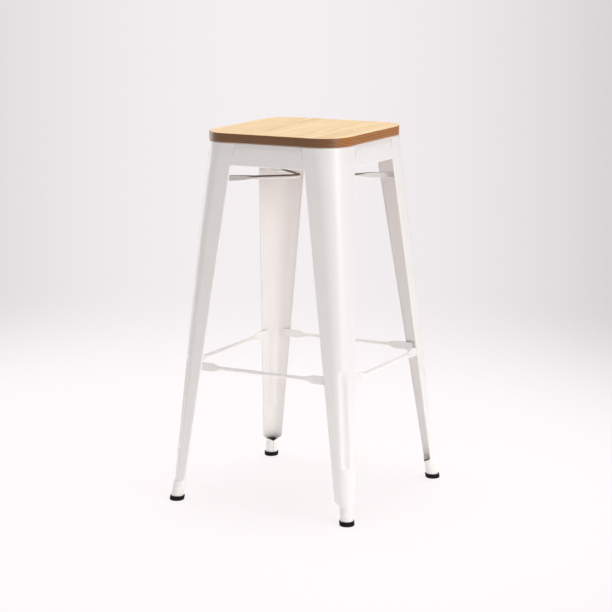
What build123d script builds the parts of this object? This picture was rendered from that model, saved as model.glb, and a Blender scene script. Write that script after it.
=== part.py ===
from build123d import *
import os
from math import atan2, cos, degrees, radians, sin, sqrt, tan

# Square bar stool with a footrest: four pressed steel legs under a pressed pan, and a wooden seat.
# Millimetres. The origin is on the floor under the middle of the seat, +Z up, the front faces -Y.

# Seat board
seat_height = 760.0  # floor to the top of the wood
seat_width = 316.0  # the board is square in plan
seat_corner = 60.0
board_thickness = 19.0
board_ease = 2.0  # rounding of the board's edges
stave_count = 5  # the staves run front to back

# Pressed steel frame
sheet = 1.5  # wall of the legs, the aprons and the pan
board_overhang = 3.0  # wood past the face of the legs
rim_height = 12.0  # turned-down rim of the pan
pan_ledge = 40.0  # the pan is open in the middle, inside this ledge
opening_corner = 20.0
slit_width = 2.0  # relief slits in the rim, over the edges of the legs
leg_spread = 50.4  # how far a leg's face moves out, from the pan down to the ankle
ankle_height = 46.0  # here the flanges start to curl into the foot tube
flange_top = 77.5  # width of a leg's flange at the pan
flange_ankle = 31.5  # and at the ankle
corner_top = 54.0  # outer corner radius of a leg at the pan
corner_ankle = 19.0  # and at the ankle
corner_gain = 24.0  # the even part of the corner's growth, from the ankle to the pan
lip_radius = 2.2  # inward return along a flange's edge
lip_tail = 0.6

# Foot
tube_top = 37.0  # below this the leg is a closed tube
tube_radius = 13.0
tube_seam = 8.0  # degrees left open where the curled edges meet
tube_flat = 0.2  # what stays straight of each flange and lip in the tube
foot_out = 0.32  # the tube's outer face stands past the line of the leg's face
foot_lean = 0.125  # a foot tube's run outwards for each mm down
cap_wall = 1.95
cap_height = 10.0
cap_floor = 4.0  # rubber under the tube
cap_ease = 1.2
cap_clearance = 0.25  # on the radius, round the tube

# Apron
apron_height = 46.0  # measured from the pan's top
apron_hem = 8.0  # inward return along the bottom edge
seam_depth = 26.0  # the open part of the seam beside a leg, from the pan's top
seam_gap = 1.6

# Pressed groove on each leg's corner
groove_low, groove_high = 110.0, 316.0
groove_width = 22.0  # where the pressing tool meets the corner
groove_depth = 5.0

# Footrest rungs and the brace under the seat: round rods with ends pressed flat
rung_height = 284.5
rung_rod = 8.0
rung_tab = (17.5, 2.9)  # height and thickness of a flattened end
rung_taper = 13.0
rung_tab_show = 22.0  # flat part that shows beyond the leg's edge
rung_tab_lap = 16.0  # flat part that laps behind the leg's flange
rung_gap = 0.02  # between a tab and the lips that it is welded to
brace_drop = 82.0  # from the pan's top to the rods' ends
brace_rise = 1.0  # the rods climb by this towards the middle
brace_gap = 14.0  # the bends stop this short of the middle
brace_angle = 38.0  # each rod's arms open by this to both sides of the X axis
brace_rod = 8.0
brace_tab = (11.5, 3.6)
brace_taper = 35.0
brace_tab_length = 62.0
brace_bend = 16.0  # bend radius at the middle

# Screws that hold the board from below
screw_shank = 4.5
screw_head = (9.0, 3.0)  # diameter and height
screw_length = 16.0  # from the pan's underside to the bottom of the pilot hole
screw_tip_gap = 0.5
washer = (13.0, 1.0)  # diameter and thickness
hole_clearance = 0.1  # on the radius, pilot hole in the wood
pan_hole_clearance = 0.5  # on the radius, hole in the pan
screw_inset = 28.0  # from the board's front and back edges

# Heights and widths that follow
pan_top = seat_height - board_thickness
under_pan = pan_top - sheet
rim_low = pan_top - rim_height
apron_low = pan_top - apron_height
pan_half = seat_width / 2 - board_overhang
stave_width = seat_width / stave_count
lip_depth = lip_radius + lip_tail
cap_radius = tube_radius + cap_clearance + cap_wall
lean = leg_spread / (pan_top - ankle_height)


def half_width(z):
    """Half the width of the stool over its leg faces at a height."""
    return pan_half + lean * (pan_top - z)


def rise(z):
    return (z - ankle_height) / (pan_top - ankle_height)


def flange(z):
    """Width of a leg's flange, from the sharp corner to its edge."""
    return flange_ankle + (flange_top - flange_ankle) * rise(z)


def edge(z):
    """Distance of a flange's edge from the middle of the stool's face."""
    return half_width(z) - flange(z)


def corner(z):
    """Outer corner radius: it grows evenly, and faster just under the pan."""
    flare = corner_top - corner_ankle - corner_gain
    return corner_ankle + corner_gain * rise(z) + flare * rise(z) ** 6


def foot_centre(z):
    """Distance of a foot tube's middle from the stool's middle, along X and along Y."""
    return half_width(tube_top) + foot_out - tube_radius + foot_lean * (tube_top - z)


def mix(start, end, share):
    return start + (end - start) * share


def spaced(start, end, count):
    return [mix(start, end, i / (count - 1)) for i in range(count)]


def frame_block(heights, inset):
    """Solid block within the leg faces, its sides moved in by an inset."""
    with BuildPart() as block:
        for z in heights:
            with BuildSketch(Plane.XY.offset(z)):
                side = 2 * (half_width(z) - inset)
                RectangleRounded(side, side, corner(z) - inset)
        loft(ruled=True)
    return block.part


def lipped_face(z, half, radius, width, lip, turn, tail):
    """Section of a leg in the +X +Y corner: two flanges with curled edges, one sheet thick."""
    with BuildSketch(Plane.XY.offset(z)) as face:
        with BuildLine():
            ends = []
            for inset in (0, sheet):
                curl = lip - inset
                x_centre, y_centre = half - width + lip, half - lip
                face_out = half - inset
                start = CenterArc((x_centre, y_centre), curl, 90, turn)
                Line((x_centre, face_out), (half - radius, face_out))
                CenterArc((half - radius, half - radius), radius - inset, 0, 90)
                Line((face_out, half - radius), (face_out, x_centre))
                CenterArc((y_centre, x_centre), curl, 0, -turn)
                tip = start @ 1
                away = (cos(radians(180 + turn)), sin(radians(180 + turn)))
                tail_end = (tip.X + tail * away[0], tip.Y + tail * away[1])
                Line((tip.X, tip.Y), tail_end)
                Line((tip.Y, tip.X), tail_end[::-1])
                ends.append(tail_end)
            Line(ends[0], ends[1])
            Line(ends[0][::-1], ends[1][::-1])
        make_face()
    return face.sketch


def plain_face(z):
    """Section of a leg beside the aprons: flanges with square edges."""
    half, radius, width = half_width(z), corner(z), flange(z)
    with BuildSketch(Plane.XY.offset(z)) as face:
        with BuildLine():
            for inset in (0, sheet):
                out = half - inset
                Line((half - width, out), (half - radius, out))
                CenterArc((half - radius, half - radius), radius - inset, 0, 90)
                Line((out, half - radius), (out, half - width))
            Line((half - width, half), (half - width, half - sheet))
            Line((half, half - width), (half - sheet, half - width))
        make_face()
    return face.sketch


def leg_face(z):
    """Section of a leg between the ankle and the aprons."""
    return lipped_face(z, half_width(z), corner(z), flange(z), lip_radius, 90, lip_tail)


def curl_face(z, share):
    """Section of the foot: share 0 is the ankle's open flanges, share 1 the closed tube."""
    return lipped_face(
        z,
        mix(half_width(ankle_height), foot_centre(z) + tube_radius + tube_flat / 2, share),
        mix(corner_ankle, tube_radius, share),
        mix(flange_ankle, 2 * tube_radius + tube_flat, share),
        mix(lip_radius, tube_radius, share),
        mix(90, 135 - tube_seam / 2, share),
        mix(lip_tail, tube_flat, share),
    )


def rod_end(plane, rod, tab, taper, length):
    """A rod's end pressed flat: a taper from the round rod, then the flat tab, along +Z."""
    height, thickness = tab
    with BuildPart() as end:
        with BuildSketch(plane):
            RectangleRounded(rod, rod, rod * 0.45)
        with BuildSketch(plane.offset(taper)):
            RectangleRounded(thickness, height, thickness * 0.45)
        loft()
        with BuildSketch(plane.offset(taper)):
            RectangleRounded(thickness, height, thickness * 0.45)
        extrude(amount=length)
    return end.part


def turned(pattern, turn):
    """A copy of a piece, turned about the stool's middle."""
    with BuildPart() as copy:
        add(pattern, rotation=(0, 0, turn))
    return copy.part


def write(piece, name):
    piece.label = name
    export_step(piece, f"parts/{name}.step")


os.makedirs("parts", exist_ok=True)
corners = {"back_right": 0, "back_left": 90, "front_left": 180, "front_right": 270}
sides = {"front": 0, "right": 90, "back": 180, "left": 270}
apron_heights = [apron_low, rim_low, under_pan]
screw_x = stave_width * (stave_count // 2)
screw_y = seat_width / 2 - screw_inset
screw_places = [(x, y) for x in (-screw_x, 0, screw_x) for y in (-screw_y, screw_y)]

# Legs: one pressed sheet each, the groove pressed in on the corner and the foot curled to a tube
groove_ball = (groove_width**2 / 4 + groove_depth**2) / (2 * groove_depth)
groove_ends = []
for z in (groove_low + groove_width / 2, groove_high - groove_width / 2):
    skin = half_width(z) - (1 - sqrt(0.5)) * corner(z)
    out = skin + (groove_ball - groove_depth) * sqrt(0.5)
    groove_ends.append(Vector(out, out, z))
groove_run = groove_ends[1] - groove_ends[0]
groove_plane = Plane(groove_ends[0], z_dir=groove_run)
groove_tools = []
for radius in (groove_ball + sheet, groove_ball):
    with BuildPart() as tool:
        with BuildSketch(groove_plane):
            Circle(radius)
        extrude(amount=groove_run.length)
        with Locations(*groove_ends):
            Sphere(radius)
    groove_tools.append(tool.part)
leg_skin = frame_block(spaced(ankle_height, apron_low, 6), 0)

with BuildPart() as groove_wall:
    add(groove_tools[0])
    add(leg_skin, mode=Mode.INTERSECT)
with BuildPart() as leg:
    for z in spaced(ankle_height, apron_low, 6):
        add(leg_face(z))
    loft(ruled=True)
    for z in apron_heights:
        add(plain_face(z))
    loft(ruled=True)
    for share in spaced(0, 1, 5):
        add(curl_face(mix(ankle_height, tube_top, share), share))
    loft(ruled=True)
    for z in (tube_top, cap_floor):
        add(curl_face(z, 1))
    loft(ruled=True)
    add(groove_wall.part)
    add(groove_tools[1], mode=Mode.SUBTRACT)
for name, turn in corners.items():
    write(turned(leg.part, turn), f"leg_{name}")

# Rubber caps: a cup over the end of each foot tube, flat underneath
with BuildPart() as cap:
    for z in (0, cap_height):
        with BuildSketch(Plane.XY.offset(z)):
            with Locations((foot_centre(z), foot_centre(z))):
                Circle(cap_radius)
    loft(ruled=True)
    fillet(cap.edges().group_by(Axis.Z)[0] + cap.edges().group_by(Axis.Z)[-1], cap_ease)
    for z in (cap_floor, cap_height):
        with BuildSketch(Plane.XY.offset(z)):
            with Locations((foot_centre(z), foot_centre(z))):
                Circle(tube_radius + cap_clearance)
    loft(ruled=True, mode=Mode.SUBTRACT)
for name, turn in corners.items():
    write(turned(cap.part, turn), f"foot_cap_{name}")

# Pan: a pressed tray over the heads of the legs and aprons, its rim slit over the legs' edges
with BuildPart() as pan:
    for z in (rim_low, pan_top):
        with BuildSketch(Plane.XY.offset(z)):
            side = 2 * (half_width(z) + sheet)
            RectangleRounded(side, side, corner(z) + sheet)
    loft(ruled=True)
    add(frame_block((rim_low, under_pan), 0), mode=Mode.SUBTRACT)
    slit_centre = edge((rim_low + under_pan) / 2)
    with BuildSketch(Plane.XY.offset(rim_low)):
        for reach in (-slit_centre, slit_centre):
            with Locations((reach, 0)):
                Rectangle(slit_width, 3 * pan_half)
            with Locations((0, reach)):
                Rectangle(3 * pan_half, slit_width)
    extrude(amount=under_pan - rim_low, mode=Mode.SUBTRACT)
    with BuildSketch(Plane.XY.offset(under_pan)):
        opening = 2 * (pan_half - pan_ledge)
        RectangleRounded(opening, opening, opening_corner)
        with Locations(*screw_places):
            Circle(screw_shank / 2 + pan_hole_clearance)
    extrude(amount=sheet, mode=Mode.SUBTRACT)
write(pan.part, "seat_pan")

# Aprons: panels flush between the legs, with a return along the bottom and an open seam on top
with BuildPart() as apron:
    for z in apron_heights:
        with BuildSketch(Plane.XY.offset(z)):
            with Locations((0, sheet / 2 - half_width(z))):
                Rectangle(2 * edge(z), sheet)
    loft(ruled=True)
    with BuildSketch(Plane.XY.offset(apron_low)):
        with Locations((0, sheet - half_width(apron_low))):
            hem_width = 2 * edge(apron_low + sheet)
            Rectangle(hem_width, apron_hem - sheet, align=(Align.CENTER, Align.MIN))
    extrude(amount=sheet)
    with BuildSketch(Plane.XY.offset(pan_top - seam_depth)):
        for reach in (-edge(rim_low), edge(rim_low)):
            with Locations((reach, -half_width(rim_low))):
                Rectangle(2 * seam_gap, 4 * sheet)
    extrude(amount=seam_depth, mode=Mode.SUBTRACT)
for name, turn in sides.items():
    write(turned(apron.part, turn), f"apron_{name}")

# Footrest rungs: each lies in the sloping plane of the legs' inner lips, welded to them
slope = degrees(atan2(leg_spread, pan_top - ankle_height))
rung_half = half_width(rung_height) - lip_depth - rung_tab[1] / 2 - rung_gap
tab_start = edge(rung_height) - rung_tab_show
rod_half = tab_start - rung_taper
rung_axes = Plane((0, -rung_half, rung_height), x_dir=(1, 0, 0), z_dir=(0, -1, 0))
rung_axes = rung_axes.rotated((-slope, 0, 0))
with BuildPart() as rung:
    for way in (-1, 1):
        axis = Plane(rung_axes.origin, x_dir=rung_axes.z_dir, z_dir=rung_axes.x_dir * way)
        with BuildSketch(axis):
            RectangleRounded(rung_rod, rung_rod, rung_rod * 0.45)
        extrude(amount=rod_half)
        add(
            rod_end(
                axis.offset(rod_half),
                rung_rod,
                rung_tab,
                rung_taper,
                rung_tab_show + rung_tab_lap,
            )
        )
for name, turn in sides.items():
    write(turned(rung.part, turn), f"footrest_{name}")

# Brace: two bent rods back to back, each joining the legs of one side
brace_z = pan_top - brace_drop
bend_cut = brace_bend * (1 / sin(radians(brace_angle)) - 1)
bend_point = Vector(brace_gap + brace_rod / 2 - bend_cut, 0, brace_z + brace_rise)
wall_x = half_width(brace_z) - sheet
wall_y = (wall_x - bend_point.X) * tan(radians(brace_angle))
wall_point = Vector(wall_x, wall_y, brace_z)
along = (wall_point - bend_point).normalized()
rod_start = wall_point - along * (brace_tab_length + brace_taper)
brace_ends = []
for way in (-1, 1):
    start = Vector(rod_start.X, rod_start.Y * way, rod_start.Z)
    outward = Vector(along.X, along.Y * way, along.Z)
    axis = Plane(start, x_dir=outward.cross(Vector(0, 0, 1)), z_dir=outward)
    through_wall = brace_tab_length + 4 * sheet
    brace_ends.append(rod_end(axis, brace_rod, brace_tab, brace_taper, through_wall))
inside_legs = frame_block(spaced(ankle_height, apron_low, 6), sheet)

with BuildPart() as brace:
    with BuildLine() as route:
        FilletPolyline(
            rod_start,
            bend_point,
            (rod_start.X, -rod_start.Y, rod_start.Z),
            radius=brace_bend,
        )
    with BuildSketch(Plane(rod_start, x_dir=axis.x_dir, z_dir=-along)):
        RectangleRounded(brace_rod, brace_rod, brace_rod * 0.45)
    sweep()
    add(brace_ends)
    add(inside_legs, mode=Mode.INTERSECT)
for name, turn in (("right", 0), ("left", 180)):
    write(turned(brace.part, turn), f"brace_{name}")

# Seat: staves glued edge to edge, one board with rounded corners and eased edges
with BuildPart() as board:
    with BuildSketch(Plane.XY.offset(pan_top)):
        RectangleRounded(seat_width, seat_width, seat_corner)
    extrude(amount=board_thickness)
    fillet(board.edges().group_by(Axis.Z)[0] + board.edges().group_by(Axis.Z)[-1], board_ease)
    with BuildSketch(Plane.XY.offset(pan_top)):
        with Locations(*screw_places):
            Circle(screw_shank / 2 + hole_clearance)
    extrude(amount=screw_length - sheet, mode=Mode.SUBTRACT)
for i in range(stave_count):
    left = (i - stave_count / 2) * stave_width
    with BuildPart() as stave:
        add(board.part)
        with BuildSketch(Plane.XY.offset(pan_top)):
            with Locations((left + stave_width / 2, 0)):
                Rectangle(stave_width, 2 * seat_width)
        extrude(amount=board_thickness, mode=Mode.INTERSECT)
    write(stave.part, f"seat_stave_{i + 1}")

# Screws: pan heads under washers, up through the pan into the staves
with BuildPart() as washers:
    with Locations(*[(x, y, under_pan) for x, y in screw_places]):
        Cylinder(washer[0] / 2, washer[1], align=(Align.CENTER, Align.CENTER, Align.MAX))
        Hole(screw_shank / 2 + hole_clearance)
write(washers.part, "seat_washers")
with BuildPart() as screws:
    head_radius, head_height = screw_head[0] / 2, screw_head[1]
    with Locations(*[(x, y, under_pan - washer[1]) for x, y in screw_places]):
        Cylinder(head_radius, head_height, align=(Align.CENTER, Align.CENTER, Align.MAX))
        Cylinder(
            screw_shank / 2,
            screw_length - washer[1] - screw_tip_gap,
            align=(Align.CENTER, Align.CENTER, Align.MIN),
        )
    heads = screws.edges().filter_by(GeomType.CIRCLE).group_by(Axis.Z)[0]
    fillet(heads, head_height * 0.4)
write(screws.part, "seat_screws")
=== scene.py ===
from math import cos, exp, hypot, log, pi, radians, sin, sqrt, tan

import bmesh
import bpy
from mathutils import Matrix, Vector


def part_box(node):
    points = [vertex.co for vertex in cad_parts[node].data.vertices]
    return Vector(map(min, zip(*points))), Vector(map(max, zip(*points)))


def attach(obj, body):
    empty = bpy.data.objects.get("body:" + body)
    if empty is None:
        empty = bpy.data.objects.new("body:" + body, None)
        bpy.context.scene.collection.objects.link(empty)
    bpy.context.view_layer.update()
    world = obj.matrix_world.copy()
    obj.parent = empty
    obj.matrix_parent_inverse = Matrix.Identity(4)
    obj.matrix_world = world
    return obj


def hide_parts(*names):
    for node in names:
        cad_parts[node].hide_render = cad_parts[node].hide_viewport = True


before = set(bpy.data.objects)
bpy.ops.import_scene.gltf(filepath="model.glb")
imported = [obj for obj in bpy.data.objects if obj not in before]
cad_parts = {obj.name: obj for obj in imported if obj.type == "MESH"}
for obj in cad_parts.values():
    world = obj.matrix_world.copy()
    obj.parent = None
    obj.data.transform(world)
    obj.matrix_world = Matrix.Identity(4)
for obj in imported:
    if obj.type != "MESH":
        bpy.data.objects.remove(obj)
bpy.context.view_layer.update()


# ---------------------------------------------------------------- Camera
# A long lens a little above the seat, looking slightly down at the stool's front right leg.
camera_turn = radians(28.67)  # round the stool from its front towards +X
camera_reach = 4.3655
camera_height = 1.258
camera_tip = radians(11.25)
camera_roll = radians(-0.3)

camera_data = bpy.data.cameras.new("camera")
camera_data.sensor_width = 36.0
camera_data.lens = 126.8
camera_data.clip_end = 60.0
camera = bpy.data.objects.new("camera", camera_data)
bpy.context.scene.collection.objects.link(camera)
camera.matrix_world = (
    Matrix.Translation((camera_reach * sin(camera_turn), -camera_reach * cos(camera_turn), camera_height))
    @ Matrix.Rotation(camera_turn, 4, "Z")
    @ Matrix.Rotation(pi / 2 - camera_tip, 4, "X")
    @ Matrix.Rotation(camera_roll, 4, "Z")
)
bpy.context.scene.camera = camera


# ---------------------------------------------------------------- Legs
# Four pressed steel legs. Each is one sheet folded round an outer corner that opens out towards
# the seat, with a groove pressed in on the corner, turned-in edges, and a foot curled to a tube.
sheet = 0.0015
apron_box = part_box("apron_front")
pan_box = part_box("seat_pan")
leg_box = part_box("leg_back_right")
cap_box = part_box("foot_cap_back_right")
apron_low = apron_box[0].z
under_pan = apron_box[1].z
rim_low = pan_box[0].z
pan_top = pan_box[1].z
face_at_apron = -apron_box[0].y
face_at_rim = pan_box[1].x - sheet
edge_at_apron = apron_box[1].x
edge_at_pan = leg_box[0].x
leg_foot = leg_box[0].z
splay = (face_at_apron - face_at_rim) / (rim_low - apron_low)
edge_run = (edge_at_apron - edge_at_pan) / (under_pan - apron_low)

ankle = 0.046  # here the flanges start to curl into the tube
tube_top = 0.037
tube_radius = 0.013
tube_flat = 0.0002
tube_seam = 3.0  # degrees left open where the curled edges meet
foot_lean = 0.125
foot_reach = (cap_box[0].x + cap_box[1].x) / 2 + foot_lean * cap_box[1].z / 2
corner_at_pan, corner_at_ankle, corner_even_gain = 0.054, 0.019, 0.024
lip_radius, lip_tail = 0.0022, 0.0006
groove_low, groove_high = 0.110, 0.310
groove_half, groove_depth = 0.0092, 0.0045


def mix(start, end, share):
    return start + (end - start) * share


def ease(start, end, value):
    """0 up to start, 1 from end on, smooth between."""
    share = min(max((value - start) / (end - start), 0.0), 1.0)
    return share * share * (3 - 2 * share)


def face_at(z):
    """Half the stool's width over the leg faces at a height."""
    return face_at_rim + splay * (rim_low - z)


def edge_at(z):
    """How far a flange's edge stands from the middle of the stool's side."""
    return edge_at_pan + edge_run * (under_pan - z)


def corner_at(z):
    rise = (z - ankle) / (pan_top - ankle)
    flare = corner_at_pan - corner_at_ankle - corner_even_gain
    return corner_at_ankle + corner_even_gain * rise + flare * rise**6


def leg_path(z):
    """The outer line of a leg's section: points with their outward normals, from lip to lip."""
    curled = 1 - ease(tube_top - 0.0015, ankle + 0.0015, z)
    beside_apron = ease(apron_low - 0.001, apron_low + 0.002, z)
    half = mix(face_at(z), foot_reach - foot_lean * z + tube_radius + tube_flat / 2, curled)
    radius = mix(corner_at(max(z, ankle)), tube_radius, curled)
    width = mix(face_at(z) - edge_at(z), 2 * tube_radius + tube_flat, curled)
    lip = mix(lip_radius, tube_radius, curled)
    turn = mix(mix(90.0, 0.5, beside_apron), 135 - tube_seam / 2, curled)
    tail = mix(mix(lip_tail, tube_flat, beside_apron), tube_flat, curled)
    lip_middle = half - width + lip * sin(radians(min(turn, 90.0)))

    path = []
    for step in range(9):
        angle = radians(90 + turn * (1 - step / 8))
        normal = Vector((cos(angle), sin(angle)))
        path.append((Vector((lip_middle, half - lip)) + normal * lip, normal))
    tip, normal = path[0]
    along = Vector((-normal.y, normal.x))
    path.insert(0, (tip + along * tail, normal))
    for step in range(1, 10):
        x = mix(lip_middle, half - radius, step / 10)
        path.append((Vector((x, half)), Vector((0.0, 1.0))))
    middle = Vector((half - radius, half - radius))
    for step in range(49):
        angle = radians(90 - 90 * step / 48)
        normal = Vector((cos(angle), sin(angle)))
        path.append((middle + normal * radius, normal))
    turned_back = [(Vector((p.y, p.x)), Vector((n.y, n.x))) for p, n in reversed(path[:19])]
    return path + turned_back


def groove_at(point, z):
    """Depth of the pressed groove at a point of the outer skin."""
    across = (point.x - point.y) / sqrt(2)
    beyond = max(groove_low + groove_half - z, z - groove_high + groove_half, 0.0)
    dish = 1 - (hypot(across, beyond) / groove_half) ** 2
    softness = 9.0
    runs_in = ease(0.0, 0.026, groove_high + 0.002 - z)  # the die leaves a soft upper end
    return runs_in * groove_depth * log(1 + exp(softness * max(dish, -3.0))) / softness


def spread(start, end, step):
    count = max(round((end - start) / step), 1)
    return [mix(start, end, i / count) for i in range(count)]


def new_piece(name, mesh, material, slot, *nodes):
    """An object for a finished mesh: it rides on the stool's one body in place of CAD nodes."""
    mesh.materials.clear()
    mesh.materials.append(material)
    mesh.polygons.foreach_set("use_smooth", [True] * len(mesh.polygons))
    mesh.set_sharp_from_angle(angle=radians(38))
    piece = bpy.data.objects.new(name, mesh)
    bpy.context.scene.collection.objects.link(piece)
    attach(piece, "root")
    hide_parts(*nodes)
    return piece


def turned(mesh, degrees):
    copy = mesh.copy()
    copy.transform(Matrix.Rotation(radians(degrees), 4, "Z"))
    return copy


def finished(mesh, name):
    """A plain mesh from a bmesh, its faces turned outwards."""
    bmesh.ops.recalc_face_normals(mesh, faces=mesh.faces)
    made = bpy.data.meshes.new(name)
    mesh.to_mesh(made)
    mesh.free()
    return made


def stacked(name, rings):
    """A mesh from closed rings of equal length, each end filled with a strip of quads."""
    mesh = bmesh.new()
    rows = [[mesh.verts.new(point) for point in ring] for ring in rings]
    count = len(rows[0])
    for low, high in zip(rows, rows[1:]):
        for i in range(count):
            j = (i + 1) % count
            mesh.faces.new((low[i], low[j], high[j], high[i]))
    for row in (rows[0], rows[-1]):
        for i in range(count // 2 - 1):
            mesh.faces.new((row[i], row[i + 1], row[count - 2 - i], row[count - 1 - i]))
    return finished(mesh, name)


def leg_ring(z):
    """Closed section of the leg's sheet: out along the outer skin and back along the inner."""
    outer, inner = [], []
    for point, normal in leg_path(z):
        sunk = point - normal * groove_at(point, z)
        back = sunk - normal * sheet
        outer.append((sunk.x, sunk.y, z))
        inner.append((back.x, back.y, z))
    return outer + inner[::-1]


leg_heights = (
    spread(leg_foot, tube_top - 0.002, 0.004)
    + spread(tube_top - 0.002, ankle + 0.010, 0.0008)
    + spread(ankle + 0.010, groove_low - 0.004, 0.004)
    + spread(groove_low - 0.004, groove_low + groove_half, 0.001)
    + spread(groove_low + groove_half, groove_high - groove_half, 0.009)
    + spread(groove_high - groove_half, groove_high + 0.004, 0.001)
    + spread(groove_high + 0.004, apron_low - 0.003, 0.015)
    + spread(apron_low - 0.003, apron_low + 0.003, 0.0006)
    + spread(apron_low + 0.003, under_pan, 0.006)
    + [under_pan]
)
leg_mesh = stacked("leg", [leg_ring(z) for z in leg_heights])


class Socket:
    """A node's output that takes part in Python sums, which add Math nodes to its tree."""

    def __init__(self, tree, socket):
        self.tree = tree
        self.socket = socket

    @staticmethod
    def node(tree, kind, settings=None, inputs=None, output=0):
        """Adds a node: its settings first, then the values or links of its sockets."""
        made = tree.nodes.new(kind)
        for name, value in (settings or {}).items():
            setattr(made, name, value)
        for name, value in (inputs or {}).items():
            socket = made.inputs[name]
            if isinstance(value, Socket):
                tree.links.new(value.socket, socket)
            else:
                socket.default_value = value
        return Socket(tree, made.outputs[output] if made.outputs else None)

    def maths(self, operation, *values):
        inputs = dict(enumerate(values))
        return Socket.node(self.tree, "ShaderNodeMath", {"operation": operation}, inputs)

    def __add__(self, other):
        return self.maths("ADD", self, other)

    def __sub__(self, other):
        return self.maths("SUBTRACT", self, other)

    def __rsub__(self, other):
        return self.maths("SUBTRACT", other, self)

    def __mul__(self, other):
        return self.maths("MULTIPLY", self, other)

    def __truediv__(self, other):
        return self.maths("DIVIDE", self, other)

    def __pow__(self, other):
        return self.maths("POWER", self, other)

    def __abs__(self):
        return self.maths("ABSOLUTE", self)

    __radd__, __rmul__ = __add__, __mul__

    def least(self, other):
        return self.maths("MINIMUM", self, other)

    def most(self, other):
        return self.maths("MAXIMUM", self, other)

    def step(self, start, end):
        """0 up to start, 1 from end on, smooth between."""
        return Socket.node(
            self.tree,
            "ShaderNodeMapRange",
            {"interpolation_type": "SMOOTHSTEP"},
            {"Value": self, "From Min": start, "From Max": end},
        )


def noise(tree, place, scale, detail=2.0, rough=0.5):
    inputs = {"Vector": place, "Scale": scale, "Detail": detail, "Roughness": rough}
    return Socket.node(tree, "ShaderNodeTexNoise", None, inputs)


def blend_colour(tree, share, first, second):
    """A colour between two colours, each a node's output or an RGB triple."""
    made = Socket.node(tree, "ShaderNodeMix", {"data_type": "RGBA"}, {"Factor": share}, output=2)
    for socket, colour in zip(made.socket.node.inputs[6:8], (first, second)):
        if isinstance(colour, Socket):
            tree.links.new(colour.socket, socket)
        else:
            socket.default_value = (*colour, 1.0)
    return made


def new_material(name):
    """A material with an empty tree; returns it, its tree and the Object coordinates."""
    material = bpy.data.materials.new(name)
    material.use_nodes = True
    tree = material.node_tree
    tree.nodes.clear()
    place = Socket.node(tree, "ShaderNodeTexCoord", output="Object")
    return material, tree, place


def split(tree, vector):
    parts = Socket.node(tree, "ShaderNodeSeparateXYZ", None, {"Vector": vector}).socket.node
    return [Socket(tree, socket) for socket in parts.outputs]


def bumped(tree, height):
    return Socket.node(tree, "ShaderNodeBump", None, {"Distance": 1.0, "Height": height})


def finish_surface(tree, **inputs):
    """The Principled shader and the output; sockets are given by their names."""
    named = {name.replace("_", " "): value for name, value in inputs.items()}
    shader = Socket.node(tree, "ShaderNodeBsdfPrincipled", None, named)
    Socket.node(tree, "ShaderNodeOutputMaterial", None, {"Surface": shader})


# White powder coat, baked on over the whole welded frame: faint orange peel and slow changes
# of gloss. Inside the foot tubes the colour is painted near-black shade.
powder_coat, tree, place = new_material("white_powder_coat")
cloud = noise(tree, place, 9.0, 3.0)
peel = noise(tree, place, 650.0, 2.0)
swell = noise(tree, place, 55.0, 2.0)
x, y, z = split(tree, place)
tube_middle = foot_reach - foot_lean * z
mouth_low, mouth_high = 0.036, 0.043  # the painted shade inside the tubes fades out between these heights
off_x, off_y = abs(x) - tube_middle, abs(y) - tube_middle
off_middle = (off_x * off_x + off_y * off_y) ** 0.5
# painted shade: near black inside the foot tubes, below their open tops
painted_tube_shade = (1.0 - off_middle.step(tube_radius - sheet * 0.95, tube_radius - sheet * 0.55)) * (
    1.0 - z.step(mouth_low, mouth_high)
)
coat = blend_colour(tree, cloud, (0.838, 0.802, 0.782), (0.866, 0.830, 0.812))
finish_surface(
    tree,
    Base_Color=blend_colour(tree, painted_tube_shade, coat, (0.045, 0.042, 0.040)),
    Roughness=0.36 + 0.10 * noise(tree, place, 26.0, 4.0) + 0.3 * painted_tube_shade,
    Coat_Weight=0.18,
    Coat_Roughness=0.24,
    Normal=bumped(tree, 0.00012 * swell + 0.000022 * peel),
)

corners = {"back_right": 0, "back_left": 90, "front_left": 180, "front_right": 270}
for corner, degrees in corners.items():
    leg_piece = turned(leg_mesh, degrees)
    new_piece(f"leg_{corner}_sheet", leg_piece, powder_coat, "white_powder_coat", f"leg_{corner}")


# ---------------------------------------------------------------- Aprons
# Four plain strips of the same steel close the frame between the legs, flush with the flanges.
# Each has its bottom edge bent inwards and is welded to the legs below an open bit of seam.
hem = apron_box[1].y - apron_box[0].y
hem_bend = 0.0022
seam_low, seam_gap = 0.715, 0.0019


def apron_path():
    """Outer line of the apron's section, from the top down and in: (distance out, height)."""
    lean = Vector((1.0, splay)).normalized()
    path = []
    for z in spread(under_pan, apron_low + hem_bend, -0.0018):
        path.append((Vector((face_at(z), z)), lean))
    middle = Vector((face_at(apron_low) - hem_bend, apron_low + hem_bend))
    for step in range(9):
        angle = radians(-90 * step / 8)
        normal = Vector((cos(angle), sin(angle)))
        path.append((middle + normal * hem_bend, normal))
    for step in range(1, 6):
        inward = mix(hem_bend, hem, step / 5)
        path.append((Vector((face_at(apron_low) - inward, apron_low)), Vector((0.0, -1.0))))
    return path


def apron_ring(share):
    """Closed section of the apron at a share of its half length."""
    outer, inner = [], []
    for point, normal in apron_path():
        back = point - normal * sheet
        gap = seam_gap * ease(seam_low - 0.0009, seam_low + 0.0009, point.y)
        reach = edge_at(max(point.y, apron_low + sheet)) - gap
        outer.append((share * reach, -point.x, point.y))
        inner.append((share * reach, -back.x, back.y))
    return outer + inner[::-1]


apron_mesh = stacked("apron", [apron_ring(step / 12 - 1) for step in range(25)])
sides = {"front": 0, "right": 90, "back": 180, "left": 270}
for side, degrees in sides.items():
    apron_piece = turned(apron_mesh, degrees)
    new_piece(f"apron_{side}_sheet", apron_piece, powder_coat, "white_powder_coat", f"apron_{side}")


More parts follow.
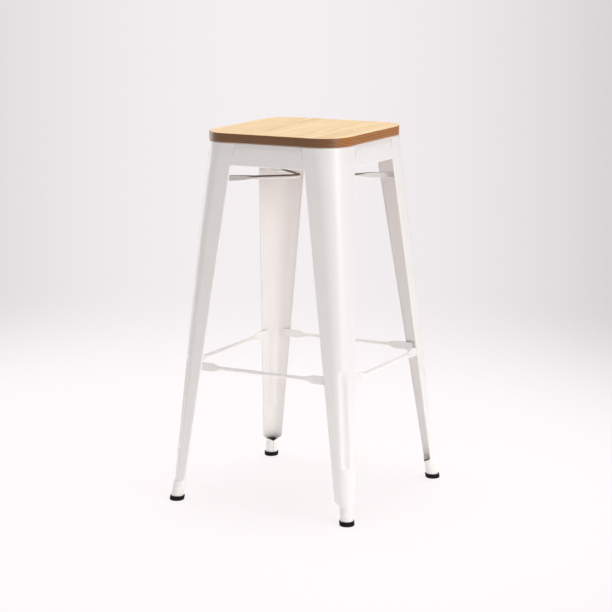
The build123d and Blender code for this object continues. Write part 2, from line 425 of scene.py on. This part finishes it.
# ---------------------------------------------------------------- Pan
# A shallow pressed tray, open in the middle, sits over the heads of the legs and aprons and is
# welded to them. Its turned-down rim is slit over each leg's edge, where the steel was folded.
pan_bend = 0.0026
slit_half = 0.0010
slit_reach = edge_at((rim_low + under_pan) / 2) - seam_gap / 2
rim_lean = 0.0022  # between the slits the rim leans in at the top
opening_half, opening_corner = 0.115, 0.020
columns = 144


def pan_outline(half, radius, z, bulge=0.0):
    """Closed outline of the tray: straight sides with columns at the slits, round corners."""
    run = half - radius
    across = [-run]
    across += [-slit_reach - slit_half, -slit_reach + slit_half]
    across += [slit_reach * k / 4 for k in range(-3, 4)]
    across += [slit_reach - slit_half, slit_reach + slit_half]
    quarter = []
    for x in across:
        between = abs(x) < slit_reach
        quarter.append(Vector((x, -half - (bulge if between else 0.0))))
    for step in range(24):
        angle = radians(-90 + 90 * step / 24)
        quarter.append(Vector((run + radius * cos(angle), -run + radius * sin(angle))))
    outline = []
    for turn in range(4):
        swing = Matrix.Rotation(turn * pi / 2, 2)
        outline += [swing @ point for point in quarter]
    return [(point.x, point.y, z) for point in outline]


def pan_rings(skin):
    """Rings from the rim's lower edge, round the bend and in over the ledge to the opening."""
    rings = []
    bend_low = pan_top - pan_bend
    rows = [(skin, mix(rim_low, bend_low, step / 6)) for step in range(6)]
    for step in range(9):
        angle = radians(90 * step / 8)
        radius = pan_bend - skin
        rows.append((pan_bend - radius * cos(angle), bend_low + radius * sin(angle)))
    for inset, z in rows:
        lean_out = -rim_lean * (z - rim_low) / (pan_top - rim_low)
        lean_out = lean_out * (1 - ease(skin, pan_bend, inset))
        half = face_at(z) + sheet - inset
        rings.append(pan_outline(half, corner_at(z) + sheet - inset, z, lean_out))
    radius = corner_at(pan_top) + sheet - pan_bend
    for share in (0.03, 0.35, 0.7, 0.985, 1.0):
        ledge_half = mix(half, opening_half, share)
        rings.append(pan_outline(ledge_half, mix(radius, opening_corner, share), z))
    return rings


def in_slit(row, column):
    return row < 6 and column % (columns // 4) in (1, 10)


pan_build = bmesh.new()
skins = [[[pan_build.verts.new(p) for p in ring] for ring in pan_rings(t)] for t in (0.0, sheet)]
last = len(skins[0]) - 1
for row in range(last):
    for column in range(columns):
        beside = (column + 1) % columns
        if in_slit(row, column):
            continue
        for skin in skins:
            low, high = skin[row], skin[row + 1]
            pan_build.faces.new((low[column], low[beside], high[beside], high[column]))
        walls = []
        if row == 0:
            walls.append(((row, column), (row, beside)))
        if row == last - 1:
            walls.append(((last, column), (last, beside)))
        if in_slit(row, (column - 1) % columns):
            walls.append(((row, column), (row + 1, column)))
        if in_slit(row, beside):
            walls.append(((row, beside), (row + 1, beside)))
        if row == 6 and in_slit(row - 1, column):
            walls.append(((row, column), (row, beside)))
        for (r0, c0), (r1, c1) in walls:
            wall = (skins[0][r0][c0], skins[0][r1][c1], skins[1][r1][c1], skins[1][r0][c0])
            pan_build.faces.new(wall)
pan_mesh = finished(pan_build, "pan")
new_piece("pan_sheet", pan_mesh, powder_coat, "white_powder_coat", "seat_pan")


# ---------------------------------------------------------------- Footrest
# Four round steel rods, a little above the floor. Each end is pressed flat, laps behind the
# turned-in edge of a leg's flange and is welded there.
rung_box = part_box("footrest_front")
rung_height = (rung_box[0].z + rung_box[1].z) / 2
rung_end = rung_box[1].x
rung_out = -(rung_box[0].y + rung_box[1].y) / 2
rung_rod, rung_tab_height, rung_tab_thick = 0.008, 0.0175, 0.0029
rung_taper, rung_flat = 0.024, 0.0385


def scaled(tree, vector, factor):
    inputs = {0: vector, "Scale": factor}
    return Socket.node(tree, "ShaderNodeVectorMath", {"operation": "SCALE"}, inputs)


def pressed_rod_tree():
    """Nodes that give a line of its own a round rod with both ends pressed flat."""
    tree = bpy.data.node_groups.new("pressed_rod", "GeometryNodeTree")
    tree.interface.new_socket("Line", in_out="INPUT", socket_type="NodeSocketGeometry")
    for name in ("Rod Diameter", "Tab Height", "Tab Thickness", "Taper", "Flat Length", "Bend Radius"):
        tree.interface.new_socket(name, in_out="INPUT", socket_type="NodeSocketFloat")
    tree.interface.new_socket("Upright", in_out="INPUT", socket_type="NodeSocketVector")
    tree.interface.new_socket("Finish", in_out="INPUT", socket_type="NodeSocketMaterial")
    tree.interface.new_socket("Rod", in_out="OUTPUT", socket_type="NodeSocketGeometry")
    given = tree.nodes.new("NodeGroupInput")
    size = {socket.name: Socket(tree, socket) for socket in given.outputs if socket.name}

    def vector_maths(operation, *values):
        kind = "ShaderNodeVectorMath"
        return Socket.node(tree, kind, {"operation": operation}, dict(enumerate(values)))

    bent = Socket.node(
        tree,
        "GeometryNodeFilletCurve",
        {"mode": "POLY"},
        {"Curve": size["Line"], "Count": 14, "Radius": size["Bend Radius"]},
    )
    fine = Socket.node(
        tree, "GeometryNodeResampleCurve", {"mode": "LENGTH"}, {"Curve": bent, "Length": 0.0015}
    )
    kept = tree.nodes.new("GeometryNodeCaptureAttribute")
    kept.domain = "POINT"
    kept.capture_items.new("VECTOR", "middle")
    kept.capture_items.new("VECTOR", "along")
    kept.capture_items.new("FLOAT", "run")
    kept.capture_items.new("FLOAT", "whole")
    tree.links.new(fine.socket, kept.inputs["Geometry"])
    sources = (
        Socket.node(tree, "GeometryNodeInputPosition"),
        Socket.node(tree, "GeometryNodeInputTangent"),
        Socket.node(tree, "GeometryNodeSplineParameter", output="Length"),
        Socket.node(tree, "GeometryNodeSplineLength"),
    )
    for source, socket in zip(sources, kept.inputs[1:5]):
        tree.links.new(source.socket, socket)
    middle, along, run, whole = (Socket(tree, socket) for socket in kept.outputs[1:5])

    profile = Socket.node(
        tree,
        "GeometryNodeCurvePrimitiveCircle",
        {"mode": "RADIUS"},
        {"Resolution": 40, "Radius": size["Rod Diameter"] * 0.5},
    )
    rod = Socket.node(
        tree,
        "GeometryNodeCurveToMesh",
        None,
        {"Curve": Socket(tree, kept.outputs["Geometry"]), "Profile Curve": profile, "Fill Caps": True},
    )
    flat_end = size["Flat Length"]
    to_end = run.least(whole - run)
    round_share = ((to_end - flat_end) / size["Taper"]).most(0.0).least(1.0)
    round_share = round_share * round_share * (3.0 - 2.0 * round_share)
    flat = 1.0 - round_share
    thin_way = vector_maths("NORMALIZE", vector_maths("CROSS_PRODUCT", along, size["Upright"]))
    tall_way = vector_maths("CROSS_PRODUCT", thin_way, along)
    off = vector_maths("SUBTRACT", Socket.node(tree, "GeometryNodeInputPosition"), middle)
    thin = vector_maths("DOT_PRODUCT", off, thin_way)
    thin = Socket(tree, thin.socket.node.outputs["Value"])
    tall = vector_maths("DOT_PRODUCT", off, tall_way)
    tall = Socket(tree, tall.socket.node.outputs["Value"])
    half_thick = size["Rod Diameter"] * 0.5 - flat * (size["Rod Diameter"] - size["Tab Thickness"]) * 0.5
    pressed = thin.least(half_thick).most(0.0 - half_thick)
    stretched = tall * (1.0 + flat * (size["Tab Height"] / size["Rod Diameter"] - 1.0))
    across = vector_maths("ADD", scaled(tree, thin_way, thin), scaled(tree, tall_way, tall))
    lengthways = vector_maths("SUBTRACT", off, across)
    shaped = vector_maths("ADD", scaled(tree, thin_way, pressed), scaled(tree, tall_way, stretched))
    shaped = vector_maths("ADD", shaped, lengthways)
    moved = Socket.node(
        tree,
        "GeometryNodeSetPosition",
        None,
        {"Geometry": rod, "Position": vector_maths("ADD", middle, shaped)},
    )
    real = Socket.node(tree, "GeometryNodeRealizeInstances", None, {"Geometry": moved})
    coated = Socket.node(
        tree, "GeometryNodeSetMaterial", None, {"Geometry": real, "Material": size["Finish"]}
    )
    out = tree.nodes.new("NodeGroupOutput")
    tree.links.new(coated.socket, out.inputs["Rod"])
    return tree


def grown(name, start, tree, sizes):
    """The plain mesh that a tree of nodes makes from a start (a curve or mesh) and sizes."""
    holder = bpy.data.objects.new(name, start)
    bpy.context.scene.collection.objects.link(holder)
    modifier = holder.modifiers.new("made", "NODES")
    modifier.node_group = tree
    for item in tree.interface.items_tree:
        if item.name in sizes:
            modifier[item.identifier] = sizes[item.name]
    holder.update_tag()
    bpy.context.view_layer.update()
    seen = holder.evaluated_get(bpy.context.evaluated_depsgraph_get())
    made = bpy.data.meshes.new_from_object(seen)
    holder.modifiers.clear()
    bpy.data.objects.remove(holder)
    return made


def open_line(name, points):
    curve = bpy.data.curves.new(name, "CURVE")
    curve.dimensions = "3D"
    spline = curve.splines.new("POLY")
    spline.points.add(len(points) - 1)
    for control, point in zip(spline.points, points):
        control.co = (*point, 1.0)
    return curve


def merged(mesh):
    """A copy's doubled points joined and its faces turned outwards."""
    work = bmesh.new()
    work.from_mesh(mesh)
    bmesh.ops.remove_doubles(work, verts=work.verts, dist=0.000001)
    return finished(work, mesh.name)


rod_tree = pressed_rod_tree()
rung_line = open_line("rung", [(-rung_end, -rung_out, rung_height), (rung_end, -rung_out, rung_height)])
rung_mesh = merged(
    grown(
        "rung",
        rung_line,
        rod_tree,
        {
            "Rod Diameter": rung_rod,
            "Tab Height": rung_tab_height,
            "Tab Thickness": rung_tab_thick,
            "Taper": rung_taper,
            "Flat Length": rung_flat,
            "Bend Radius": 0.0,
            "Upright": (0.0, splay, 1.0),
            "Finish": powder_coat,
        },
    )
)
for side, degrees in sides.items():
    rung_piece = turned(rung_mesh, degrees)
    node = f"footrest_{side}"
    new_piece(f"{node}_rod", rung_piece, powder_coat, "white_powder_coat", node)


# ---------------------------------------------------------------- Brace
# Two rods under the seat, each bent to a V that joins the two legs of one side. The bends stop
# just short of the stool's middle; the ends are pressed flat and welded inside the flanges.
brace_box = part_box("brace_right")
brace_low = 0.659
brace_rise = 0.001
brace_angle = radians(38)
brace_rod, brace_tab_height, brace_tab_thick = 0.008, 0.0115, 0.0036
brace_taper, brace_flat, brace_bend = 0.037, 0.064, 0.016
bend_x = brace_box[0].x + brace_rod / 2 - brace_bend * (1 / sin(brace_angle) - 1)
wall_x = face_at(brace_low) - sheet
wall_y = (wall_x - bend_x) * tan(brace_angle)
past_wall = 0.003
end_x = wall_x + past_wall
end_y = wall_y + past_wall * tan(brace_angle)

# The frame's white paint, with painted shade on the upper side of the rods: they turn dark grey where
# they face up under the seat.
brace_paint, tree, place = new_material("white_powder_coat_brace")
upwards = split(tree, Socket.node(tree, "ShaderNodeTexCoord", output="Normal"))[2]
# painted shade: the rod's colour darkens where its surface faces upwards
dust_and_painted_shade = upwards.step(-0.25, 0.6)
finish_surface(
    tree,
    Base_Color=blend_colour(tree, dust_and_painted_shade, (0.80, 0.766, 0.748), (0.21, 0.197, 0.185)),
    Roughness=0.36 + 0.3 * dust_and_painted_shade,
    Normal=bumped(tree, 0.00003 * noise(tree, place, 650.0)),
)

brace_line = open_line(
    "brace",
    [(end_x, end_y, brace_low), (bend_x, 0.0, brace_low + brace_rise), (end_x, -end_y, brace_low)],
)
brace_mesh = merged(
    grown(
        "brace",
        brace_line,
        rod_tree,
        {
            "Rod Diameter": brace_rod,
            "Tab Height": brace_tab_height,
            "Tab Thickness": brace_tab_thick,
            "Taper": brace_taper,
            "Flat Length": brace_flat,
            "Bend Radius": brace_bend,
            "Upright": (0.0, 0.0, 1.0),
            "Finish": brace_paint,
        },
    )
)
for vertex in brace_mesh.vertices:
    vertex.co.x = min(vertex.co.x, face_at(vertex.co.z) - sheet)
for side, degrees in (("right", 0), ("left", 180)):
    brace_piece = turned(brace_mesh, degrees)
    node = f"brace_{side}"
    new_piece(f"{node}_rod", brace_piece, brace_paint, "white_powder_coat", node)


# ---------------------------------------------------------------- Foot caps
# Black rubber cups pushed over the ends of the foot tubes, moulded with a soft edge and a
# fine ring round the wall.
cap_radius = 0.0152
cap_height = cap_box[1].z
cap_floor = 0.004
cap_bore = 0.01325
cap_ease = 0.0026
cap_steps = 72


def foot_middle(z):
    return foot_reach - foot_lean * z


def cap_profile():
    """Half outline of the cap from the middle underneath, round the wall and into the bore."""
    line = [(0.0, 0.0006), (0.004, 0.0006), (0.0085, 0.0006), (0.0092, 0.0), (0.0118, 0.0)]
    for step in range(9):
        angle = radians(-90 + 90 * step / 8)
        line.append((cap_radius - cap_ease + cap_ease * cos(angle), cap_ease + cap_ease * sin(angle)))
    waist = cap_radius - 0.0003
    line += [(cap_radius, 0.0042), (waist, 0.0046), (waist, 0.0050), (cap_radius, 0.0054)]
    line += [(cap_radius, 0.0075)]
    rim = (cap_radius - cap_bore) / 2
    for step in range(1, 13):
        angle = radians(180 * step / 12)
        line.append((cap_radius - rim + rim * cos(angle), cap_height - rim + rim * sin(angle)))
    line += [(cap_bore, 0.006), (cap_bore, cap_floor), (0.006, cap_floor), (0.0, cap_floor)]
    return line


cap_build = bmesh.new()
cap_rows = []
for radius, z in cap_profile():
    middle = foot_middle(z)
    if radius == 0.0:
        cap_rows.append([cap_build.verts.new((middle, middle, z))])
        continue
    ring = []
    for step in range(cap_steps):
        angle = 2 * pi * step / cap_steps
        ring.append(cap_build.verts.new((middle + radius * cos(angle), middle + radius * sin(angle), z)))
    cap_rows.append(ring)
for low, high in zip(cap_rows, cap_rows[1:]):
    for i in range(cap_steps):
        j = (i + 1) % cap_steps
        if len(low) == 1:
            cap_build.faces.new((low[0], high[i], high[j]))
        elif len(high) == 1:
            cap_build.faces.new((low[i], low[j], high[0]))
        else:
            cap_build.faces.new((low[i], low[j], high[j], high[i]))
cap_mesh = finished(cap_build, "cap")

black_rubber, tree, place = new_material("black_rubber")
dust_and_painted_shade = noise(tree, place, 160.0, 4.0, 0.6).step(0.45, 0.8)
finish_surface(
    tree,
    Base_Color=blend_colour(tree, dust_and_painted_shade, (0.006, 0.006, 0.006), (0.016, 0.016, 0.016)),
    Roughness=0.55 + 0.2 * noise(tree, place, 420.0),
    Specular_IOR_Level=0.12,
    Normal=bumped(tree, 0.00004 * noise(tree, place, 1400.0, 3.0)),
)
for corner, degrees in corners.items():
    cap_piece = turned(cap_mesh, degrees)
    new_piece(f"cap_{corner}_rubber", cap_piece, black_rubber, "black_rubber", f"foot_cap_{corner}")


# ---------------------------------------------------------------- Seat
# Five solid staves glued edge to edge, cut to a square with round corners, its edges eased by
# hand, stained and lacquered. The side grain takes the stain warmly and the end grain dark.
stave_boxes = [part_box(f"seat_stave_{number}") for number in range(1, 6)]
board_half = stave_boxes[-1][1].x
board_low, board_high = stave_boxes[0][0].z, stave_boxes[0][1].z
board_corner = 0.060
board_ease = 0.002


def board_ring(inset, z):
    radius = board_corner - inset
    run = board_half - board_corner
    ring = []
    for quarter in range(4):
        swing = Matrix.Rotation(quarter * pi / 2, 2)
        for step in range(33):
            angle = radians(90 * step / 32)
            ring.append(swing @ Vector((run + radius * cos(angle), run + radius * sin(angle))))
        for step in range(1, 8):
            ring.append(swing @ Vector((mix(run, -run, step / 8), run + radius)))
    return [(point.x, point.y, z) for point in ring]


board_rows = [(board_ease + 0.003, board_low)]
for step in range(9):
    angle = radians(90 * step / 8)
    board_rows.append((board_ease * (1 - sin(angle)), board_low + board_ease * (1 - cos(angle))))
board_rows += [(0.0, mix(board_low, board_high, share)) for share in (0.35, 0.65)]
for step in range(9):
    angle = radians(90 * step / 8)
    board_rows.append((board_ease * (1 - cos(angle)), board_high - board_ease * (1 - sin(angle))))
board_rows.append((board_ease + 0.003, board_high))
board_build = bmesh.new()
rows = [[board_build.verts.new(point) for point in board_ring(*row)] for row in board_rows]
for low, high in zip(rows, rows[1:]):
    for i in range(len(low)):
        j = (i + 1) % len(low)
        board_build.faces.new((low[i], low[j], high[j], high[i]))
board_build.faces.new(rows[0])
board_build.faces.new(rows[-1])
board_mesh = finished(board_build, "board")


def stave_mesh(name, left, right):
    """The length of the board between two glue lines."""
    work = bmesh.new()
    work.from_mesh(board_mesh)
    for x, way in ((left, -1.0), (right, 1.0)):
        if abs(x) > board_half - 0.001:
            continue
        everything = work.verts[:] + work.edges[:] + work.faces[:]
        cut = bmesh.ops.bisect_plane(
            work,
            geom=everything,
            plane_co=(x, 0.0, 0.0),
            plane_no=(way, 0.0, 0.0),
            clear_outer=True,
        )
        open_edges = [item for item in cut["geom_cut"] if isinstance(item, bmesh.types.BMEdge)]
        bmesh.ops.holes_fill(work, edges=open_edges)
    return finished(work, name)


def stained_wood(number, left, right):
    """Stain and lacquer over one stave, with growth rings about a heart line of its own."""
    wood, tree, place = new_material(f"honey_wood_{number}")
    direction = Socket.node(tree, "ShaderNodeTexCoord", output="Normal")
    across, _, up = split(tree, place)
    _, facing_y, facing_z = split(tree, direction)
    heart_x = mix(left, right, (0.2, 0.75, 0.45, 0.9, 0.35)[number - 1])
    heart_z = board_low - (0.035, 0.060, 0.022, 0.045, 0.070)[number - 1]
    long_grain = Socket.node(
        tree,
        "ShaderNodeMapping",
        None,
        {"Vector": place, "Location": (0.0, 0.37 * number, 0.0), "Scale": (1.0, 0.09, 1.0)},
    )
    sway = noise(tree, long_grain, 14.0, 2.0)
    heart = heart_x + 0.010 * (sway - 0.5)
    sideways = across - heart
    above = up - heart_z
    distance = (sideways * sideways + above * above) ** 0.5
    ring = distance / 0.0043 + 1.6 * noise(tree, long_grain, 60.0, 3.0) + 4.0 * sway
    turns = ring * (2 * pi)
    late = (0.5 + 0.5 * turns.maths("SINE", turns)) ** 2.2
    fibre_map = Socket.node(
        tree,
        "ShaderNodeMapping",
        None,
        {"Vector": place, "Location": (0.0, 1.7 * number, 0.0), "Scale": (1.0, 0.03, 1.0)},
    )
    fibre = noise(tree, fibre_map, 900.0, 3.0, 0.6)
    streak = noise(tree, fibre_map, 150.0, 4.0, 0.6)
    pore = noise(tree, fibre_map, 1700.0, 1.0).step(0.62, 0.74)
    cloud = noise(tree, place, 22.0, 3.0)
    top = facing_z.step(0.25, 0.95)
    end = abs(facing_y).step(0.35, 0.9) * (1.0 - top)
    figure = (0.42 * late + 0.28 * streak + 0.18 * fibre + 0.12 * cloud).step(0.15, 0.85)
    tone = (0.30, 0.62, 0.22, 0.50, 0.36)[number - 1]
    pale = blend_colour(tree, tone, (0.90, 0.690, 0.432), (0.85, 0.615, 0.352))
    deep = blend_colour(tree, tone, (0.765, 0.530, 0.285), (0.70, 0.450, 0.218))
    top_colour = blend_colour(tree, figure, pale, deep)
    side_colour = blend_colour(tree, figure, (0.41, 0.150, 0.016), (0.25, 0.076, 0.005))
    end_colour = blend_colour(tree, figure, (0.205, 0.090, 0.028), (0.105, 0.042, 0.012))
    colour = blend_colour(tree, end, side_colour, end_colour)
    colour = blend_colour(tree, top, colour, top_colour)
    colour = blend_colour(tree, 0.35 * pore, colour, (0.20, 0.085, 0.030))
    finish_surface(
        tree,
        Base_Color=colour,
        Roughness=0.46 + 0.10 * fibre + 0.06 * late,
        Specular_IOR_Level=0.35,
        Coat_Weight=0.5,
        Coat_Roughness=0.30,
        Normal=bumped(tree, 0.00003 * fibre + 0.00002 * late - 0.00005 * pore),
    )
    return wood


for number, (low, high) in enumerate(stave_boxes, 1):
    mesh = stave_mesh(f"stave_{number}", low.x, high.x)
    wood = stained_wood(number, low.x, high.x)
    new_piece(f"stave_{number}_wood", mesh, wood, "honey_wood", f"seat_stave_{number}")


# ---------------------------------------------------------------- Screws
# Six zinc-plated pan-head screws with flat washers go up through the pan into the staves,
# three along each end of the board.
screw_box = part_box("seat_screws")
washer_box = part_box("seat_washers")
head_low = screw_box[0].z
head_high = washer_box[0].z
head_radius, head_flat = 0.0045, 0.0034
head_dish = 0.0002
head_wall = 0.55  # the share of the head's height that its rounded side takes
shank_radius, shank_point = 0.00225, 0.001
recess_depth = 0.0012
washer_radius, washer_bore, washer_edge = 0.0065, 0.0024, 0.0002
row_length = screw_box[1].x - screw_box[0].x - 2 * head_radius
row_apart = screw_box[1].y - screw_box[0].y - 2 * head_radius


def lathe(profile, segments):
    """A closed round piece about the Z axis from a profile that may start or end on it."""
    work = bmesh.new()
    rings = []
    for radius, z in profile:
        if radius == 0.0:
            rings.append([work.verts.new((0.0, 0.0, z))] * segments)
            continue
        points = [2 * pi * i / segments for i in range(segments)]
        rings.append([work.verts.new((radius * cos(a), radius * sin(a), z)) for a in points])
    for low, high in zip(rings, rings[1:]):
        for i in range(segments):
            j = (i + 1) % segments
            face = list(dict.fromkeys((low[i], low[j], high[j], high[i])))
            work.faces.new(face)
    return work


head_height = head_high - head_low
screw_profile = [(0.0, head_low)]
for step in range(1, 13):
    screw_profile.append((head_flat * step / 12, head_low + head_dish * (step / 12) ** 2))
for step in range(1, 7):
    angle = radians(90 * step / 6)
    radius = mix(head_flat, head_radius, sin(angle))
    screw_profile.append((radius, head_low + head_dish + head_wall * head_height * (1 - cos(angle))))
screw_profile += [(head_radius, head_high), (shank_radius, head_high)]
screw_profile += [(shank_radius, screw_box[1].z - shank_point), (0.0, screw_box[1].z)]
screw_build = lathe(screw_profile, 64)
for vertex in screw_build.verts:  # press the cross recess into the head
    if vertex.co.z < head_low + 2 * head_dish:
        slim = min(abs(vertex.co.x), abs(vertex.co.y))
        long = max(abs(vertex.co.x), abs(vertex.co.y))
        in_cross = (1 - ease(0.00035, 0.00065, slim)) * (1 - ease(0.0017, 0.0023, long))
        vertex.co.z += recess_depth * in_cross
screw_one = finished(screw_build, "screw")
washer_profile = [(washer_bore, head_high), (washer_radius - washer_edge, head_high)]
washer_profile += [(washer_radius, head_high + washer_edge), (washer_radius, washer_box[1].z)]
washer_profile += [(washer_bore, washer_box[1].z), (washer_bore, head_high)]
washer_one = merged(finished(lathe(washer_profile, 48), "washer"))

# Bright zinc plate, dulled by handling.
zinc_plate, tree, place = new_material("zinc_plate")
spangle = noise(tree, place, 240.0, 3.0, 0.6)
finish_surface(
    tree,
    Base_Color=blend_colour(tree, spangle, (0.50, 0.485, 0.47), (0.66, 0.645, 0.63)),
    Roughness=0.30 + 0.2 * noise(tree, place, 700.0),
    Metallic=1.0,
    Normal=bumped(tree, 0.00001 * noise(tree, place, 2600.0)),
)


def row_tree():
    """Nodes that repeat a piece on a grid of two rows."""
    tree = bpy.data.node_groups.new("two_rows", "GeometryNodeTree")
    tree.interface.new_socket("Piece", in_out="INPUT", socket_type="NodeSocketGeometry")
    for name in ("Row Length", "Rows Apart"):
        tree.interface.new_socket(name, in_out="INPUT", socket_type="NodeSocketFloat")
    tree.interface.new_socket("In A Row", in_out="INPUT", socket_type="NodeSocketInt")
    tree.interface.new_socket("Finish", in_out="INPUT", socket_type="NodeSocketMaterial")
    tree.interface.new_socket("Pieces", in_out="OUTPUT", socket_type="NodeSocketGeometry")
    given = tree.nodes.new("NodeGroupInput")
    size = {socket.name: Socket(tree, socket) for socket in given.outputs if socket.name}
    grid = Socket.node(
        tree,
        "GeometryNodeMeshGrid",
        None,
        {
            "Size X": size["Row Length"],
            "Size Y": size["Rows Apart"],
            "Vertices X": size["In A Row"],
            "Vertices Y": 2,
        },
    )
    many = Socket.node(
        tree, "GeometryNodeInstanceOnPoints", None, {"Points": grid, "Instance": size["Piece"]}
    )
    real = Socket.node(tree, "GeometryNodeRealizeInstances", None, {"Geometry": many})
    plated = Socket.node(
        tree, "GeometryNodeSetMaterial", None, {"Geometry": real, "Material": size["Finish"]}
    )
    out = tree.nodes.new("NodeGroupOutput")
    tree.links.new(plated.socket, out.inputs["Pieces"])
    return tree


two_rows = row_tree()
row_sizes = {"Row Length": row_length, "Rows Apart": row_apart, "In A Row": 3, "Finish": zinc_plate}
for name, one, node in (
    ("screw_rows", screw_one, "seat_screws"),
    ("washer_rows", washer_one, "seat_washers"),
):
    new_piece(name, grown(name, one, two_rows, row_sizes), zinc_plate, "zinc_steel", node)


# ---------------------------------------------------------------- Studio
# A matt white floor that fades out into a pale surround, a broad soft light overhead, and one
# on each side, the stronger on the stool's right.
floor_build = bmesh.new()
floor_rings = []
for radius in (0.4, 1.0, 2.0, 3.2):
    angles = [2 * pi * i / 96 for i in range(96)]
    floor_rings.append([floor_build.verts.new((radius * cos(a), radius * sin(a), 0.0)) for a in angles])
floor_build.faces.new(floor_rings[0])
for low, high in zip(floor_rings, floor_rings[1:]):
    for i in range(96):
        j = (i + 1) % 96
        floor_build.faces.new((low[i], high[i], high[j], low[j]))
floor_mesh = finished(floor_build, "floor")
if floor_mesh.polygons[0].normal.z < 0:
    floor_mesh.flip_normals()
floor = bpy.data.objects.new("floor", floor_mesh)
bpy.context.scene.collection.objects.link(floor)

white_floor, tree, place = new_material("white_floor")
x, y, _ = split(tree, place)
off_centre = 0.3  # the floor's pale patch lies this far to the left of the stool
x, y = x + off_centre * cos(camera_turn), y + off_centre * sin(camera_turn)
radius = (x * x + y * y) ** 0.5
fade = radius.step(0.8, 2.3)
beneath = Socket.node(tree, "ShaderNodeNewGeometry", output="Backfacing")
matt = Socket.node(
    tree,
    "ShaderNodeBsdfPrincipled",
    None,
    {
        "Base Color": (0.93, 0.92, 0.92, 1.0),
        "Roughness": 0.75,
        "Specular IOR Level": 0.1,
        "Emission Color": (1.0, 0.955, 0.965, 1.0),
        "Emission Strength": 0.35,
    },
)
# Looked at directly, the floor is an even near-white, paler than the light it throws back.
even = Socket.node(
    tree,
    "ShaderNodeBsdfPrincipled",
    None,
    {
        "Base Color": (0.15, 0.15, 0.15, 1.0),
        "Roughness": 1.0,
        "Specular IOR Level": 0.0,
        "Emission Color": (1.0, 0.945, 0.955, 1.0),
        "Emission Strength": 0.84,
    },
)
camera_ray = Socket.node(tree, "ShaderNodeLightPath", output="Is Camera Ray")
white = Socket.node(tree, "ShaderNodeMixShader", None, {0: camera_ray, 1: matt, 2: even})
clear = Socket.node(tree, "ShaderNodeBsdfTransparent")
shown = Socket.node(
    tree, "ShaderNodeMixShader", None, {0: fade.most(beneath), 1: white, 2: clear}
)
Socket.node(tree, "ShaderNodeOutputMaterial", None, {"Surface": shown})
floor_mesh.materials.append(white_floor)

world = bpy.data.worlds.new("surround")
bpy.context.scene.world = world
world.use_nodes = True
tree = world.node_tree
tree.nodes.clear()
toward = Socket.node(tree, "ShaderNodeTexCoord", output="Generated")
sideways = Socket.node(
    tree,
    "ShaderNodeVectorMath",
    {"operation": "DOT_PRODUCT"},
    {0: toward, 1: (cos(camera_turn), sin(camera_turn), 0.0)},
    output="Value",
)
off_middle = sideways + 0.015
dim = (off_middle * off_middle / 0.05).least(0.55)
seen_colour = blend_colour(tree, dim, (0.905, 0.868, 0.882), (0.470, 0.440, 0.455))
seen = Socket.node(tree, "ShaderNodeBackground", None, {"Color": seen_colour, "Strength": 1.0})
height = split(tree, toward)[2]
sky = blend_colour(tree, height.step(0.0, 0.80), (0.13, 0.13, 0.13), (0.57, 0.57, 0.57))
sky = blend_colour(tree, height.step(-0.12, 0.0), (0.77, 0.76, 0.76), sky)
glow = Socket.node(tree, "ShaderNodeBackground", None, {"Color": sky, "Strength": 1.0})
camera_ray = Socket.node(tree, "ShaderNodeLightPath", output="Is Camera Ray")
both = Socket.node(tree, "ShaderNodeMixShader", None, {0: camera_ray, 1: glow, 2: seen})
Socket.node(tree, "ShaderNodeOutputWorld", None, {"Surface": both})


def soft_light(name, place, aim, size, power):
    lamp = bpy.data.lights.new(name, "AREA")
    lamp.shape = "DISK"
    lamp.size = size
    lamp.energy = power
    holder = bpy.data.objects.new(name, lamp)
    bpy.context.scene.collection.objects.link(holder)
    holder.location = place
    holder.rotation_euler = (Vector(aim) - Vector(place)).to_track_quat("-Z", "Y").to_euler()


soft_light("overhead", (0.0, 0.2, 3.0), (0.0, 0.0, 0.3), 1.5, 49.0)
soft_light("right", (3.1, -0.95, 1.4), (0.0, 0.0, 0.42), 1.7, 45.0)
soft_light("left", (-3.0, 0.7, 0.9), (0.0, 0.0, 0.4), 1.8, 20.0)
bpy.context.scene.view_settings.view_transform = "Standard"
